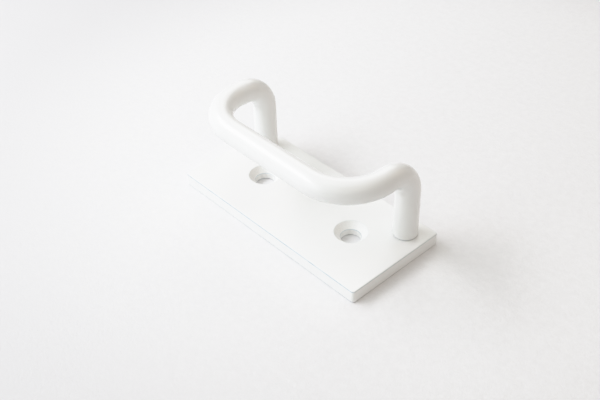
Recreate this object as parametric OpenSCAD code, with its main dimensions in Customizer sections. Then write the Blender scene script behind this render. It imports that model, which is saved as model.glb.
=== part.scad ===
// Sash lift handle: a round rod, bent twice at each end, stands on a flat plate with two countersunk holes.
// The origin is the centre of the plate's back face. X runs along the plate, the legs stand towards +Y,
// the grip overhangs towards -Y, and +Z points away from the sash that the plate is screwed to.

/* [Base plate] */
// Length of the plate
plate_length = 80; // [78:1:100]
// Width of the plate
plate_width = 37.6; // [36:0.1:50]
// Thickness of the plate
plate_thickness = 4.4; // [4:0.1:6]
// Radius of the plate's four corners, seen from the front
corner_radius = 1; // [0.5:0.1:3]

/* [Mounting holes] */
// Distance between the centres of the two mounting holes
hole_spacing = 41; // [36:0.5:44]
// Diameter of each mounting hole
hole_diameter = 6.6; // [5:0.1:7]
// Diameter of each countersink where it meets the front face
countersink_diameter = 10.8; // [9:0.1:12]

/* [Handle bar] */
// Diameter of the rod
rod_diameter = 8; // [7:0.1:9]
// Distance between the centre lines of the two legs
leg_spacing = 65.4; // [62:0.1:68]
// Distance from the plate's middle back to the legs' centre lines
leg_setback = 11.6; // [11.4:0.1:13.4]
// Distance from the plate's middle forward to the grip's centre line
grip_overhang = 14.5; // [14.2:0.1:20]
// Height of the grip's centre line above the back of the plate
grip_height = 30.6; // [28:0.1:40]
// Bend radius from a leg into its arm, at the rod's centre line
leg_bend_radius = 9.4; // [7:0.1:9.6]
// Bend radius from an arm into the grip, at the rod's centre line
grip_bend_radius = 15.2; // [12:0.1:15.8]

/* [Leg screws] */
// Thread diameter of the screws that hold the legs
screw_diameter = 4; // [3:0.5:4]
// Length of each screw, its head included
screw_length = 12; // [10:1:13]
// Diameter of each screw's head
screw_head_diameter = 7.8; // [6:0.1:8]
// Diameter of each screw's clearance hole in the plate
screw_hole_diameter = 4.5; // [4.2:0.1:5]

/* [Hidden] */
$fn = 96;

rod_radius = rod_diameter / 2;
leg_x = leg_spacing / 2;

// Both kinds of countersink are 90 degree cones, so the depth of each is its change in radius.
countersink_depth = (countersink_diameter - hole_diameter) / 2;
head_recess = 0.1; // how far the screw heads sit below the plate's back face
screw_sink_diameter = screw_head_diameter + 2 * head_recess;
screw_sink_depth = (screw_sink_diameter - screw_hole_diameter) / 2;
head_depth = (screw_head_diameter - screw_diameter) / 2;

thread_clearance = 0.04; // gap on the radius between a screw and its threaded hole
tapped_depth = 10; // depth of the threaded hole in each leg
drill_point_depth = 1.2; // depth of the cone that the drill leaves at the hole's end

recess_length = 4.4; // cross recess in the screw head, from tip to tip
recess_width = 0.9;
recess_depth = 1.7;

over = 1; // how far a cutting shape runs past the face that it cuts

// The plate's outline with its rounded corners.
module plate_outline() {
    corner_x = plate_length / 2 - corner_radius;
    corner_y = plate_width / 2 - corner_radius;
    square([plate_length, 2 * corner_y], center = true);
    square([2 * corner_x, plate_width], center = true);
    for (x = [-corner_x, corner_x], y = [-corner_y, corner_y])
        translate([x, y]) circle(corner_radius);
}

// Cuts a hole through the plate along +Z, with its countersink in the face at z = 0.
module countersunk_hole(hole_d, sink_d, sink_depth) {
    translate([0, 0, -over]) cylinder(d = hole_d, h = plate_thickness + 2 * over);
    cylinder(d1 = sink_d, d2 = hole_d, h = sink_depth);
    translate([0, 0, -over]) cylinder(d = sink_d, h = over);
}

module base_plate() {
    color("white") difference() {
        linear_extrude(plate_thickness) plate_outline();
        for (side = [-1, 1]) {
            translate([side * hole_spacing / 2, 0, plate_thickness])
                rotate([180, 0, 0])
                    countersunk_hole(hole_diameter, countersink_diameter, countersink_depth);
            translate([side * leg_x, leg_setback, 0])
                countersunk_hole(screw_hole_diameter, screw_sink_diameter, screw_sink_depth);
        }
    }
}

// A quarter turn of the rod, from +X round to +Y, with the bend's centre at the origin.
module rod_bend(bend_radius) {
    rotate_extrude(angle = 90) translate([bend_radius, 0]) circle(rod_radius);
}

// The right half of the rod: leg, bend, arm, bend, and the grip as far as its middle.
module half_bar() {
    leg_top = grip_height - leg_bend_radius;
    arm_back = leg_setback - leg_bend_radius;
    arm_front = grip_bend_radius - grip_overhang;
    grip_end = leg_x - grip_bend_radius;
    translate([leg_x, leg_setback, plate_thickness])
        cylinder(r = rod_radius, h = leg_top - plate_thickness);
    translate([leg_x, arm_back, leg_top])
        rotate([90, 0, 90]) rod_bend(leg_bend_radius);
    translate([leg_x, arm_back, grip_height])
        rotate([90, 0, 0]) cylinder(r = rod_radius, h = arm_back - arm_front);
    translate([grip_end, arm_front, grip_height])
        rotate([0, 0, 270]) rod_bend(grip_bend_radius);
    translate([0, -grip_overhang, grip_height])
        rotate([0, 90, 0]) cylinder(r = rod_radius, h = grip_end);
}

// Cuts the threaded hole up a leg from z = 0, with the drill's point at its end.
module tapped_hole() {
    translate([0, 0, -over]) cylinder(d = screw_diameter, h = tapped_depth + over);
    translate([0, 0, tapped_depth]) cylinder(d1 = screw_diameter, d2 = 0, h = drill_point_depth);
}

module handle_bar() {
    color("white") difference() {
        union() {
            half_bar();
            mirror([1, 0, 0]) half_bar();
        }
        for (side = [-1, 1])
            translate([side * leg_x, leg_setback, plate_thickness]) tapped_hole();
    }
}

// A countersunk machine screw that points up, with a cross recess in its head's face at z = 0.
module leg_screw() {
    color("silver") difference() {
        union() {
            cylinder(d1 = screw_head_diameter, d2 = screw_diameter, h = head_depth);
            cylinder(r = screw_diameter / 2 - thread_clearance, h = screw_length);
        }
        for (turn = [45, 135])
            rotate([0, 0, turn])
                translate([-recess_length / 2, -recess_width / 2, -over])
                    cube([recess_length, recess_width, recess_depth + over]);
    }
}

module left_leg_screw() {
    translate([-leg_x, leg_setback, head_recess]) leg_screw();
}

module right_leg_screw() {
    translate([leg_x, leg_setback, head_recess]) leg_screw();
}

base_plate();
handle_bar();
left_leg_screw();
right_leg_screw();
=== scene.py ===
"""Looks of the sash lift handle: a powder-coated plate and rod, and the two screws that join them."""
import math

import bmesh
import bpy
from mathutils import Matrix, Vector


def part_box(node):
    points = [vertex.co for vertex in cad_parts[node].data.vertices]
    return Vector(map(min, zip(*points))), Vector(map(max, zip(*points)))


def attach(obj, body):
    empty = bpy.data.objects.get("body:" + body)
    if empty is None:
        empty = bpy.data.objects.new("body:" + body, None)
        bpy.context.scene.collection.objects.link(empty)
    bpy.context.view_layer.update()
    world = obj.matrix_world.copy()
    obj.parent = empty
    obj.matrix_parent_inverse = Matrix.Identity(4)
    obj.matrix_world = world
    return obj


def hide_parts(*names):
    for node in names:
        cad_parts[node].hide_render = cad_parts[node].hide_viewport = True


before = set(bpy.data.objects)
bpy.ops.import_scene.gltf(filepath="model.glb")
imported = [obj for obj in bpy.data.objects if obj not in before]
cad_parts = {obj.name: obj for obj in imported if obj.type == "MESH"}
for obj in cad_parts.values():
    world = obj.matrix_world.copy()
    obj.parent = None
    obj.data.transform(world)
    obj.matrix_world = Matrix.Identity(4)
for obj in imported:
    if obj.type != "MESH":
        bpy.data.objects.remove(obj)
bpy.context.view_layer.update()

# A millimetre in Blender's metres. The mesh tools work in millimetres.
MM = 0.001

# Design sizes that the frame's boxes don't give, in millimetres.
CORNER_RADIUS = 1.0
HOLE_SPACING = 41.0
HOLE_RADIUS = 3.3
COUNTERSINK_RADIUS = 5.4
ROD_RADIUS = 4.0
LEG_BEND = 9.4
GRIP_BEND = 15.2
TAPPED_RADIUS = 2.0
TAPPED_DEPTH = 10.0
DRILL_POINT = 1.2
DRILL_TIP_RADIUS = 0.05
HEAD_RADIUS = 3.9
HEAD_RIM = 0.1
SCREW_RADIUS = 2.0
SCREW_HOLE_RADIUS = 2.25
THREAD_PITCH = 0.7
THREAD_CREST = 1.96
THREAD_ROOT = 1.62
SCREW_TIP_RADIUS = 1.3
SCREW_TIP_BEVEL = 0.5
# The cross recess from its mouth to its floor: length and width of its slots, and depth.
RECESS = ((4.4, 0.9, 0), (3.2, 0.75, 1.1), (1.2, 0.6, 1.7))

# What the coat and the cutting tools leave on the edges, as radii in millimetres.
FRONT_EDGE = 0.42
BACK_EDGE = 0.35
HOLE_STEP = 0.6
HOLE_BACK = 0.35
SCREW_HOLE_EDGE = 0.15
ROD_END_EDGE = 0.5
TAPPED_MOUTH = 0.2
DRILL_EDGE = 0.1
HEAD_FACE_EDGE = 0.05
HEAD_RIM_EDGE = 0.03
# The countersink's lip turns through 45 degrees, and starts this far from where its edge would be.
HOLE_LIP = 0.25
LIP_RADIUS = HOLE_LIP / math.tan(math.radians(45 / 2))
# How far a profile runs on past its first and last edges, only to set their directions.
RUN_OFF = 1.0

# Where an arc's wear and painted shade peak: in its middle, or nearer to its last or its first end.
MIDDLE = 1.0
LATE = 2.3
EARLY = 0.45

# How worn the edges are, from 0 to 1; on the holes' back edges and the rod's foot the mark is also painted
# shade.
LIP_WEAR = 0.15
HOLE_WEAR_AND_SHADE = 0.6
ROD_END_WEAR_AND_SHADE = 0.55
# How worn the edges of the plate's short ends are, and how much painted shade their bottom edges carry, as
# a share of the long ones.
END_WEAR_AND_SHADE = 0.45

plate_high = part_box("base_plate")[1] / MM
bar_low, bar_high = (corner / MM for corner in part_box("handle_bar"))
screw_low, screw_high = (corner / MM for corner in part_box("right_leg_screw"))
THICKNESS = plate_high.z
LEG_X = bar_high.x - ROD_RADIUS
LEG_Y = bar_high.y - ROD_RADIUS
GRIP_Y = bar_low.y + ROD_RADIUS
GRIP_Z = bar_high.z - ROD_RADIUS
HEAD_FACE_Z = screw_low.z
SCREW_LENGTH = screw_high.z - screw_low.z
SCREW_SINK_RADIUS = HEAD_RADIUS + HEAD_FACE_Z


# ---------------------------------------------------------------- mesh tools

def rounded_path(corners, radii, wear_and_shade_peaks=None, step=9.0):
    """(point, unit tangent, wear and painted shade) along a polyline whose inner corners are arcs.

    Each arc is drawn in steps of about step degrees. The last argument gives each arc's most wear and
    painted shade, from 0 to 1, and where that is. Both fade out towards the arc's ends.
    """
    fewest_steps = 3
    corners = [Vector(c) for c in corners]
    path = [(corners[0], (corners[1] - corners[0]).normalized(), 0.0)]
    wear_and_shade_peaks = wear_and_shade_peaks or [(0.0, MIDDLE)] * len(radii)
    bends = zip(corners, corners[1:], corners[2:], radii, wear_and_shade_peaks)
    for before, corner, after, radius, (most, lean) in bends:
        into = (corner - before).normalized()
        out = (after - corner).normalized()
        turn = into.angle(out)
        inward = (out - into * into.dot(out)).normalized()
        centre = corner - into * radius * math.tan(turn / 2) + inward * radius
        steps = max(fewest_steps, round(math.degrees(turn) / step))
        for k in range(steps + 1):
            a = turn * k / steps
            spoke = into * math.sin(a) - inward * math.cos(a)
            wear_and_shade = most * math.sin(math.pi * (k / steps) ** lean)
            path.append((centre + spoke * radius, into * math.cos(a) + inward * math.sin(a), wear_and_shade))
    path.append((corners[-1], (corners[-1] - corners[-2]).normalized(), 0.0))
    return path


def outside(tangent):
    """The normal of a profile whose solid lies to the left of its tangent."""
    return Vector((tangent.y, -tangent.x))


class Skin:
    """A closed mesh in the making, in millimetres, which keeps the exact normal of every vertex."""

    def __init__(self):
        self.bm = bmesh.new()
        self.normal = self.bm.verts.layers.float_vector.new("exact_normal")
        # Wear of the coat on edges, and painted shade in the creases at the floor and at the rod's foot.
        self.wear_and_shade = self.bm.verts.layers.float.new("wear_and_shade")
        self.pooled = self.bm.verts.layers.float.new("pooled")

    def ring(self, points, wear_and_shade=0.0, pooled=0.0):
        """A closed loop of vertices from (position, normal) pairs, with how worn the coat is, how much
        painted shade it carries, and how pooled it is.
        """
        made = []
        for position, normal in points:
            vertex = self.bm.verts.new(position * MM)
            vertex[self.normal] = normal
            vertex[self.wear_and_shade] = wear_and_shade
            vertex[self.pooled] = pooled
            made.append(vertex)
        return made

    def wall(self, rings):
        """Quads from each ring to the next."""
        for a, b in zip(rings, rings[1:]):
            for i in range(len(a)):
                j = (i + 1) % len(a)
                self.bm.faces.new((a[i], a[j], b[j], b[i]))

    def cap(self, *rings):
        """Fills the flat space between closed rings that share a plane."""
        pairs = [(ring[i - 1], ring[i]) for ring in rings for i in range(len(ring))]
        edges = [self.bm.edges.get(pair) or self.bm.edges.new(pair) for pair in pairs]
        bmesh.ops.triangle_fill(self.bm, edges=edges, use_beauty=True)

    def finish(self, name, sharp_angle=None):
        """The mesh, with its exact normals or, given an angle in degrees, with sharp edges beyond that."""
        bmesh.ops.recalc_face_normals(self.bm, faces=self.bm.faces)
        mesh = bpy.data.meshes.new(name)
        self.bm.to_mesh(mesh)
        self.bm.free()
        mesh.polygons.foreach_set("use_smooth", [True] * len(mesh.polygons))
        if sharp_angle is None:
            normals = [tuple(value.vector) for value in mesh.attributes["exact_normal"].data]
            mesh.normals_split_custom_set_from_vertices(normals)
        else:
            mesh.set_sharp_from_angle(angle=math.radians(sharp_angle))
        mesh.attributes.remove(mesh.attributes["exact_normal"])
        return mesh


# ---------------------------------------------------------------- base plate

def outline(inset, z, normal):
    """The plate's rounded outline, moved in by inset, as (position, normal) pairs.

    normal is (outward, up).
    """
    arc_steps = 10
    points = []
    for corner, (sx, sy) in enumerate([(1, 1), (-1, 1), (-1, -1), (1, -1)]):
        centre = Vector((sx * (plate_high.x - CORNER_RADIUS), sy * (plate_high.y - CORNER_RADIUS), z))
        for k in range(arc_steps + 1):
            a = math.radians(90 * (corner + k / arc_steps))
            out = Vector((math.cos(a), math.sin(a), 0))
            facing = out * normal.x + Vector((0, 0, normal.y))
            points.append((centre + out * (CORNER_RADIUS - inset), facing))
    return points


def circle(centre, radius, z, normal, count=96):
    """A circle about a vertical axis, as (position, normal) pairs; normal is (outward, up)."""
    points = []
    middle = Vector((centre[0], centre[1], z))
    for k in range(count):
        a = 2 * math.pi * k / count
        out = Vector((math.cos(a), math.sin(a), 0))
        points.append((middle + out * radius, out * normal.x + Vector((0, 0, normal.y))))
    return points


def bore(skin, centre, corners, radii, wear_and_shade_peaks):
    """Adds a round hole's wall, with a profile from front to back, and gives its first and last rings."""
    rings = []
    for point, tangent, wear_and_shade in rounded_path(corners, radii, wear_and_shade_peaks)[1:-1]:
        # The coat pools everywhere below the front face.
        pooled = 1.0 if rings else 0.0
        rings.append(skin.ring(circle(centre, point.x, point.y, outside(tangent)), wear_and_shade, pooled))
    skin.wall(rings)
    return rings[0], rings[-1]


def make_plate():
    """The plate with its rounded edges, two countersunk mounting holes and two holes for the leg screws."""
    skin = Skin()
    corners = [(RUN_OFF, THICKNESS), (0, THICKNESS), (0, 0), (RUN_OFF, 0)]
    # The top edge's mark is wear of the coat; the bottom edge's, at the foot of the side face, is painted
    # shade of the crease against the floor.
    side_profile = rounded_path(corners, [FRONT_EDGE, BACK_EDGE], [(1.0, LATE), (1.0, EARLY)])
    rings = []
    for point, tangent, wear_and_shade in side_profile[1:-1]:
        normal = outside(tangent)
        ring = skin.ring(outline(point.x, point.y, Vector((abs(normal.x), normal.y))), wear_and_shade)
        # The wear and painted shade fade round each corner, from the long side to the short end.
        for vertex in ring:
            past_corner = abs(vertex.co.x) / MM - (plate_high.x - CORNER_RADIUS)
            vertex[skin.wear_and_shade] *= 1 - (1 - END_WEAR_AND_SHADE) * max(0.0, past_corner) / CORNER_RADIUS
        rings.append(ring)
    skin.wall(rings)
    front = [rings[0]]
    back = [rings[-1]]
    mounting_hole = [
        (COUNTERSINK_RADIUS + RUN_OFF, THICKNESS),
        (COUNTERSINK_RADIUS, THICKNESS),
        (HOLE_RADIUS, THICKNESS - (COUNTERSINK_RADIUS - HOLE_RADIUS)),
        (HOLE_RADIUS, 0),
        (HOLE_RADIUS + RUN_OFF, 0),
    ]
    mounting_edges = [LIP_RADIUS, HOLE_STEP, HOLE_BACK]
    # On the step the mark is wear; on the bore's back edge it is painted shade of the crease against the
    # floor.
    mounting_wear_and_shade = [(LIP_WEAR, MIDDLE), (HOLE_WEAR_AND_SHADE, MIDDLE), (HOLE_WEAR_AND_SHADE, MIDDLE)]
    screw_hole = [
        (SCREW_HOLE_RADIUS + RUN_OFF, THICKNESS),
        (SCREW_HOLE_RADIUS, THICKNESS),
        (SCREW_HOLE_RADIUS, SCREW_SINK_RADIUS - SCREW_HOLE_RADIUS),
        (SCREW_SINK_RADIUS, 0),
        (SCREW_SINK_RADIUS + RUN_OFF, 0),
    ]
    for side in (-1, 1):
        for ends in (
            bore(skin, (side * HOLE_SPACING / 2, 0), mounting_hole, mounting_edges, mounting_wear_and_shade),
            # The screw holes' edges carry wear, and painted shade on the back edge at the floor.
            bore(skin, (side * LEG_X, LEG_Y), screw_hole, [SCREW_HOLE_EDGE] * 3, [(1.0, MIDDLE)] * 3),
        ):
            front.append(ends[0])
            back.append(ends[1])
    skin.cap(*front)
    skin.cap(*back)
    return skin.finish("coated_plate")


# ---------------------------------------------------------------- handle bar

def around(centre, along, across, radius, normal, count=64):
    """A circle round a path, as (position, normal) pairs; normal is (outward, along)."""
    other = along.cross(across)
    points = []
    for k in range(count):
        a = 2 * math.pi * k / count
        out = across * math.cos(a) + other * math.sin(a)
        points.append((centre + out * radius, out * normal.x + along * normal.y))
    return points


def make_bar():
    """The rod, swept along its path as one skin with the tapped hole in each leg's end."""
    skin = Skin()
    path = rounded_path([
        (-LEG_X, LEG_Y, THICKNESS),
        (-LEG_X, LEG_Y, GRIP_Z),
        (-LEG_X, GRIP_Y, GRIP_Z),
        (LEG_X, GRIP_Y, GRIP_Z),
        (LEG_X, LEG_Y, GRIP_Z),
        (LEG_X, LEG_Y, THICKNESS),
    ], [LEG_BEND, GRIP_BEND, GRIP_BEND, LEG_BEND], step=3.0)
    # The rod's end: up the drilled point and the bore, out across the end face, and round its edge.
    # The mark on the edge round the rod's foot is wear and painted shade of the crease where the leg meets
    # the plate.
    end = rounded_path([
        (DRILL_TIP_RADIUS, TAPPED_DEPTH + DRILL_POINT),
        (TAPPED_RADIUS, TAPPED_DEPTH),
        (TAPPED_RADIUS, 0),
        (ROD_RADIUS, 0),
        (ROD_RADIUS, 2 * ROD_END_EDGE),
    ], [DRILL_EDGE, TAPPED_MOUTH, ROD_END_EDGE], [(0.0, MIDDLE), (0.0, MIDDLE), (ROD_END_WEAR_AND_SHADE, MIDDLE)])
    across = Vector((1, 0, 0))
    rings = []
    start, up, _ = path[0]
    for point, tangent, wear_and_shade in end:
        rings.append(skin.ring(around(start + up * point.y, up, across, point.x, outside(tangent)), wear_and_shade))
    before = up
    for centre, along, _ in path[1:-1]:
        across = before.rotation_difference(along) @ across
        rings.append(skin.ring(around(centre, along, across, ROD_RADIUS, Vector((1, 0)))))
        before = along
    stop, down, _ = path[-1]
    for point, tangent, wear_and_shade in reversed(end):
        normal = outside(tangent)
        loop = around(stop - down * point.y, down, across, point.x, Vector((normal.x, -normal.y)))
        rings.append(skin.ring(loop, wear_and_shade))
    skin.wall(rings)
    skin.cap(rings[0])
    skin.cap(rings[-1])
    return skin.finish("coated_rod")


# ---------------------------------------------------------------- leg screws

def thread_radius(z, angle, start, stop):
    """Radius of the thread, from start, where it grows out of the shank, to its bevelled tip at stop."""
    # Half the groove's flat floor and the width of a flank, as shares of the pitch.
    half_groove = 0.125
    flank_width = 0.3125
    phase = (z / THREAD_PITCH - angle / (2 * math.pi)) % 1.0
    flank = max(0.0, min(1.0, (abs(phase - 0.5) - half_groove) / flank_width))
    depth = min(1.0, max(0.0, (z - start) / THREAD_PITCH))
    bevel = THREAD_CREST - max(0.0, z - (stop - SCREW_TIP_BEVEL))
    return min(bevel, THREAD_CREST - (THREAD_CREST - THREAD_ROOT) * (1 - flank) * depth)


def cross_outline(length, width, z):
    """The cross recess's outline at one height, as (position, normal) pairs."""
    reach = length / 2
    half = width / 2
    bevel = half / 2
    easing = 1.2
    inner = half * easing
    arm = ((reach - bevel, -half), (reach, -bevel), (reach, bevel), (reach - bevel, half), (inner, inner))
    points = []
    for quarter in range(4):
        turn = Matrix.Rotation(math.radians(45 + 90 * quarter), 3, "Z")
        for x, y in arm:
            points.append((turn @ Vector((x, y, z)), Vector((0, 0, -1))))
    return points


def make_screw():
    """A countersunk screw that points up, with the middle of its head's face at the origin."""
    skin = Skin()
    count = 64
    rings_per_turn = 14
    face_inset = 0.6
    neck_depth = 0.1
    neck_length = 0.3
    plain_length = 0.3
    rim_radius = HEAD_RADIUS - HEAD_RIM
    cone_top = HEAD_RADIUS - SCREW_RADIUS
    rings = []
    head = rounded_path([
        (HEAD_RADIUS - face_inset, 0),
        (rim_radius, 0),
        (rim_radius, HEAD_RIM),
        (SCREW_RADIUS - neck_depth, cone_top + neck_depth),
    ], [HEAD_FACE_EDGE, HEAD_RIM_EDGE])
    for point, _, _ in head:
        rings.append(skin.ring(circle((0, 0), point.x, point.y, Vector((1, 0)), count)))
    shank_start = cone_top + neck_length
    thread_start = shank_start + plain_length
    ring_gap = THREAD_PITCH / rings_per_turn
    for step in range(round((SCREW_LENGTH - shank_start) / ring_gap)):
        z = shank_start + step * ring_gap
        ring = []
        for k in range(count):
            a = 2 * math.pi * k / count
            r = thread_radius(z, a, thread_start, SCREW_LENGTH)
            ring.append((Vector((r * math.cos(a), r * math.sin(a), z)), Vector((0, 0, 1))))
        rings.append(skin.ring(ring))
    rings.append(skin.ring(circle((0, 0), SCREW_TIP_RADIUS, SCREW_LENGTH, Vector((0, 1)), count)))
    skin.wall(rings)
    skin.cap(rings[-1])
    recess = [skin.ring(cross_outline(*size)) for size in RECESS]
    skin.wall(recess)
    skin.cap(recess[-1])
    skin.cap(rings[0], recess[0])
    return skin.finish("leg_screw", sharp_angle=32)


# ---------------------------------------------------------------- materials

# The coat's colours: full, in its slightly darker patches, thin on worn edges, where it also stands for
# painted shade in the creases, and pooled in the holes.
COAT = (0.87, 0.872, 0.857)
COAT_SHADE = (0.85, 0.852, 0.837)
THIN_COAT_AND_PAINTED_SHADE = (0.34, 0.42, 0.49)
POOLED_COAT = (0.93, 0.935, 0.91)
# How deep the pooled coat's lumps are, in millimetres.
LUMP_DEPTH = 0.1

ZINC = (0.66, 0.67, 0.68)
BLUISH_ZINC = (0.55, 0.58, 0.62)

# The paper's colours: plain, in its clouds, and darker with painted shade away from the handle.
PAPER = (0.85, 0.846, 0.848)
CLOUDED_PAPER = (0.795, 0.791, 0.793)
PAPER_IN_PAINTED_SHADE = (0.66, 0.653, 0.655)
# The paper is painted palest, as a pool of light, out to the first radius from the centre, and painted
# greyest, as shade where the light falls off, from the second radius on, in millimetres.
PAINTED_LIGHT_CENTRE = Vector((10, 70, 0))
PAINTED_LIGHT_RADIUS = 96
PAINTED_SHADE_RADIUS = 190


def new_material(name):
    """A node material, its tree and its Principled shader."""
    material = bpy.data.materials.new(name)
    material.use_nodes = True
    return material, material.node_tree, material.node_tree.nodes["Principled BSDF"]


def add_node(tree, kind, inputs=None, **settings):
    """A node with its settings, whose inputs are values or other nodes' outputs."""
    node = tree.nodes.new(kind)
    for setting, value in settings.items():
        setattr(node, setting, value)
    for socket, value in (inputs or {}).items():
        if isinstance(value, bpy.types.NodeSocket):
            tree.links.new(value, node.inputs[socket])
        else:
            node.inputs[socket].default_value = value
    return node


def noise(tree, size, detail=2.0, roughness=0.5):
    """Noise from 0 to 1 whose lumps are about size millimetres across, fixed to the piece."""
    place = add_node(tree, "ShaderNodeTexCoord").outputs["Object"]
    settings = {"Vector": place, "Scale": 1 / (size * MM), "Detail": detail, "Roughness": roughness}
    return add_node(tree, "ShaderNodeTexNoise", settings).outputs["Fac"]


def spread(tree, value, low, high, from_low=0.3, from_high=0.7):
    """Stretches a noise value onto the range from low to high."""
    ends = {"Value": value, "From Min": from_low, "From Max": from_high, "To Min": low, "To Max": high}
    return add_node(tree, "ShaderNodeMapRange", ends).outputs["Result"]


def mix(tree, share, first, second):
    """A colour between two others, which are tuples or outputs."""
    node = add_node(tree, "ShaderNodeMix", {"Factor": share}, data_type="RGBA")
    # The Mix node's colour inputs are its sockets 6 and 7, and its colour output is socket 2.
    for index, colour in ((6, first), (7, second)):
        if isinstance(colour, bpy.types.NodeSocket):
            tree.links.new(colour, node.inputs[index])
        else:
            node.inputs[index].default_value = (*colour, 1)
    return node.outputs[2]


def bump(tree, height, depth, below=None):
    """A bump as deep as depth, in millimetres, laid over another one."""
    inputs = {"Height": height, "Distance": depth * MM, "Strength": 1.0}
    if below:
        inputs["Normal"] = below
    return add_node(tree, "ShaderNodeBump", inputs).outputs["Normal"]


def product(tree, first, second):
    """Two values or outputs multiplied."""
    return add_node(tree, "ShaderNodeMath", {0: first, 1: second}, operation="MULTIPLY").outputs[0]


def powder_coat(name, roughness, peel_size, peel_depth):
    """White powder coat with orange peel and a fine grain, thin on worn edges, darkened with painted shade
    in creases, and lumpy in the holes.
    """
    roughness_swing = 0.02
    grain_depth = 0.06 * peel_depth
    material, tree, shader = new_material(name)
    patches = spread(tree, noise(tree, size=9, detail=3), 0, 1)
    film = mix(tree, patches, COAT, COAT_SHADE)
    pooled = add_node(tree, "ShaderNodeAttribute", attribute_name="pooled").outputs["Fac"]
    blotches = spread(tree, noise(tree, size=0.4, detail=3), 0, 1)
    film = mix(tree, product(tree, pooled, blotches), film, POOLED_COAT)
    # The thin-coat colour is wear on the top edges and painted shade in the creases at the floor and at the
    # rod's foot.
    wear_and_shade = add_node(tree, "ShaderNodeAttribute", attribute_name="wear_and_shade").outputs["Fac"]
    broken = spread(tree, noise(tree, size=2.5, detail=4), low=0.65, high=1.0)
    film = mix(tree, product(tree, wear_and_shade, broken), film, THIN_COAT_AND_PAINTED_SHADE)
    tree.links.new(film, shader.inputs["Base Color"])
    smears = noise(tree, size=4, detail=3)
    uneven = spread(tree, smears, roughness - roughness_swing, roughness + roughness_swing)
    tree.links.new(uneven, shader.inputs["Roughness"])
    peel = bump(tree, noise(tree, peel_size, detail=1), peel_depth)
    lumps = add_node(tree, "ShaderNodeBump", {
        "Height": noise(tree, size=0.35, detail=2),
        "Distance": LUMP_DEPTH * MM,
        "Strength": pooled,
        "Normal": peel,
    }).outputs["Normal"]
    grain = bump(tree, noise(tree, size=0.22, detail=3, roughness=0.6), grain_depth, below=lumps)
    tree.links.new(grain, shader.inputs["Normal"])
    shader.inputs["IOR"].default_value = 1.5
    return material


def zinc_steel(name):
    """Bright zinc on steel: a bluish cast in patches, and the fine rings of a lathe."""
    ring_spacing = 0.12
    ring_depth = 0.004
    # The distance from one wave to the next when the Wave node's scale is 1.
    unscaled_spacing = 0.314
    material, tree, shader = new_material(name)
    patches = spread(tree, noise(tree, size=1.6, detail=4), 0, 1)
    tree.links.new(mix(tree, patches, ZINC, BLUISH_ZINC), shader.inputs["Base Color"])
    uneven = spread(tree, noise(tree, size=0.7, detail=3), low=0.22, high=0.38)
    tree.links.new(uneven, shader.inputs["Roughness"])
    shader.inputs["Metallic"].default_value = 1.0
    place = add_node(tree, "ShaderNodeTexCoord").outputs["Object"]
    scale = unscaled_spacing / (ring_spacing * MM)
    inputs = {"Vector": place, "Scale": scale, "Distortion": 0.6, "Detail": 1.0}
    rings = add_node(tree, "ShaderNodeTexWave", inputs, wave_type="RINGS", rings_direction="Z")
    tree.links.new(bump(tree, rings.outputs["Fac"], ring_depth), shader.inputs["Normal"])
    return material


def paper_floor(name):
    """Matt white paper with soft fibres and very faint clouds, greyed by a painted shade away from the
    handle.
    """
    fibre_depth = 0.14
    material, tree, shader = new_material(name)
    clouds = spread(tree, noise(tree, size=2.5, detail=6, roughness=0.7), 0, 1)
    paper = mix(tree, clouds, PAPER, CLOUDED_PAPER)
    # Painted falloff of light: the paper's colour greys with distance from the centre of the pool of light.
    place = add_node(tree, "ShaderNodeTexCoord").outputs["Object"]
    points = {0: place, 1: PAINTED_LIGHT_CENTRE * MM}
    distance_from_painted_light = add_node(tree, "ShaderNodeVectorMath", points, operation="DISTANCE").outputs["Value"]
    ends = {"Value": distance_from_painted_light, "From Min": PAINTED_LIGHT_RADIUS * MM, "From Max": PAINTED_SHADE_RADIUS * MM}
    share = add_node(tree, "ShaderNodeMapRange", ends, interpolation_type="SMOOTHSTEP").outputs["Result"]
    tree.links.new(mix(tree, share, paper, PAPER_IN_PAINTED_SHADE), shader.inputs["Base Color"])
    shader.inputs["Roughness"].default_value = 0.85
    fibres = noise(tree, size=1.2, detail=4, roughness=0.7)
    tree.links.new(bump(tree, fibres, fibre_depth), shader.inputs["Normal"])
    return material


plate_coat = powder_coat("satin_powder_coat", roughness=0.36, peel_size=1.6, peel_depth=0.012)
bar_coat = powder_coat("gloss_powder_coat", roughness=0.20, peel_size=1.4, peel_depth=0.005)
steel = zinc_steel("zinc_steel")


# ---------------------------------------------------------------- assembly

def add_piece(name, mesh, material, node, place=(0, 0, 0)):
    """A piece that stands for one CAD node."""
    piece = bpy.data.objects.new(name, mesh)
    bpy.context.scene.collection.objects.link(piece)
    piece.location = Vector(place) * MM
    # The two screws share one mesh, which takes its material only once.
    if not mesh.materials:
        mesh.materials.append(material)
    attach(piece, "root")
    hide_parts(node)


add_piece("coated_plate", make_plate(), plate_coat, "base_plate")
add_piece("coated_rod", make_bar(), bar_coat, "handle_bar")
screw_mesh = make_screw()
for side, word in ((-1, "left"), (1, "right")):
    place = (side * LEG_X, LEG_Y, HEAD_FACE_Z)
    add_piece(word + "_screw", screw_mesh, steel, word + "_leg_screw", place)


# ---------------------------------------------------------------- studio

# The point on the floor that every softbox faces, and how far from it they stand, in metres.
POOL = Vector((-0.035, 0.01, 0.0))
SOFTBOX_DISTANCE = 0.55
# The angle that a softbox's light spreads over.
BEAM = math.radians(140)

AMBIENT_COLOUR = (1.0, 0.98, 0.96)
AMBIENT_STRENGTH = 0.375
FLOOR_REACH = 3.0

# Film-like shoulder: light below the knee shows as it is, and brighter light eases off towards white.
KNEE = 0.75
BRIGHTEST = 2.0
CURVE_POINTS = (0.25, 0.5, KNEE, 0.85, 1.0, 1.2, 1.5)

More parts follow.
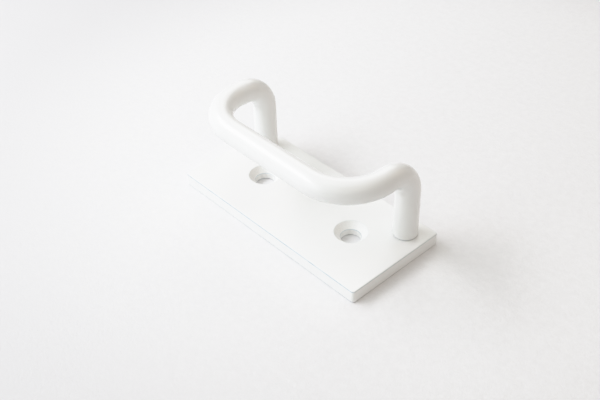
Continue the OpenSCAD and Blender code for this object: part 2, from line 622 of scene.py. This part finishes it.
# Where the camera stands: angles in degrees, lens and sensor in their own millimetres, and its
# distance from the origin and shift off the line to it in the model's millimetres.
CAMERA_AZIMUTH = 48.22
CAMERA_ELEVATION = 39.34
CAMERA_ROLL = math.radians(-1.72)
CAMERA_DISTANCE = 291.8
CAMERA_UP = 3.95
CAMERA_LEFT = 2.11
LENS = 53.13
SENSOR_WIDTH = 36


def towards(azimuth, elevation):
    """The unit vector at an azimuth, 0 towards -Y and 90 towards +X, and an elevation, both in degrees."""
    a = math.radians(azimuth)
    e = math.radians(elevation)
    return Vector((math.sin(a) * math.cos(e), -math.cos(a) * math.cos(e), math.sin(e)))


def softbox(name, azimuth, elevation, size, watts, colour):
    """An oval softbox that faces the pool of light. size is its width and height in metres."""
    light = bpy.data.lights.new(name, "AREA")
    light.shape = "ELLIPSE"
    light.size, light.size_y = size
    light.energy = watts
    light.color = colour
    light.spread = BEAM
    lamp = bpy.data.objects.new(name, light)
    bpy.context.scene.collection.objects.link(lamp)
    outward = towards(azimuth, elevation)
    lamp.location = POOL + outward * SOFTBOX_DISTANCE
    lamp.rotation_euler = outward.to_track_quat("Z", "Y").to_euler()


softbox("window", 306, 44, (0.6, 0.17), 1.22, (0.96, 0.96, 1.0))
softbox("window_glow", 300, 42, (0.55, 0.55), 0.26, (0.82, 0.86, 1.0))
softbox("front_left", 340, 34, (0.36, 0.36), 0.33, (0.84, 0.9, 1.0))
softbox("front_low", 350, 18, (0.28, 0.28), 0.25, (0.85, 1.0, 0.98))
softbox("back_left", 215, 43, (0.36, 0.36), 0.34, (0.97, 1.0, 0.99))
softbox("back_right", 145, 32, (0.3, 0.3), 0.12, (1.0, 0.72, 0.53))
softbox("right_high", 85, 50, (0.36, 0.36), 0.1, (1.0, 0.86, 0.68))
softbox("camera_side", 48, 38, (0.36, 0.36), 0.076, (1.0, 0.82, 0.56))
softbox("overhead", 0, 90, (0.36, 0.36), 0.16, (0.9, 1.0, 1.0))

floor_mesh = bpy.data.meshes.new("floor")
floor_corners = [(x * FLOOR_REACH, y * FLOOR_REACH, 0) for x, y in ((-1, -1), (1, -1), (1, 1), (-1, 1))]
floor_mesh.from_pydata(floor_corners, [], [(0, 1, 2, 3)])
floor_mesh.materials.append(paper_floor("white_paper"))
floor = bpy.data.objects.new("floor", floor_mesh)
bpy.context.scene.collection.objects.link(floor)

world = bpy.data.worlds.new("studio")
world.use_nodes = True
background = world.node_tree.nodes["Background"]
background.inputs["Color"].default_value = (*AMBIENT_COLOUR, 1)
background.inputs["Strength"].default_value = AMBIENT_STRENGTH
bpy.context.scene.world = world

view = bpy.context.scene.view_settings
view.view_transform = "Standard"
view.use_curve_mapping = True
view.curve_mapping.white_level = (BRIGHTEST, BRIGHTEST, BRIGHTEST)
# Curve 3 is the one for all three channels together.
shoulder = view.curve_mapping.curves[3]
shoulder.points[0].location = (0, 0)
shoulder.points[1].location = (1, 1)
for light in CURVE_POINTS:
    excess = max(0.0, light - KNEE) / (1 - KNEE)
    shoulder.points.new(light / BRIGHTEST, min(light, KNEE) + (1 - KNEE) * (1 - math.exp(-excess)))
view.curve_mapping.update()

back = towards(CAMERA_AZIMUTH, CAMERA_ELEVATION)
level = Vector((0, 0, 1)).cross(back).normalized()
upright = back.cross(level)
right = level * math.cos(CAMERA_ROLL) + upright * math.sin(CAMERA_ROLL)
up = back.cross(right)
camera_data = bpy.data.cameras.new("camera")
camera_data.lens = LENS
camera_data.sensor_width = SENSOR_WIDTH
camera_data.clip_start = 0.01
camera = bpy.data.objects.new("camera", camera_data)
bpy.context.scene.collection.objects.link(camera)
camera.matrix_world = Matrix((right, up, back)).transposed().to_4x4()
camera.location = (back * CAMERA_DISTANCE + up * CAMERA_UP - right * CAMERA_LEFT) * MM
bpy.context.scene.camera = camera
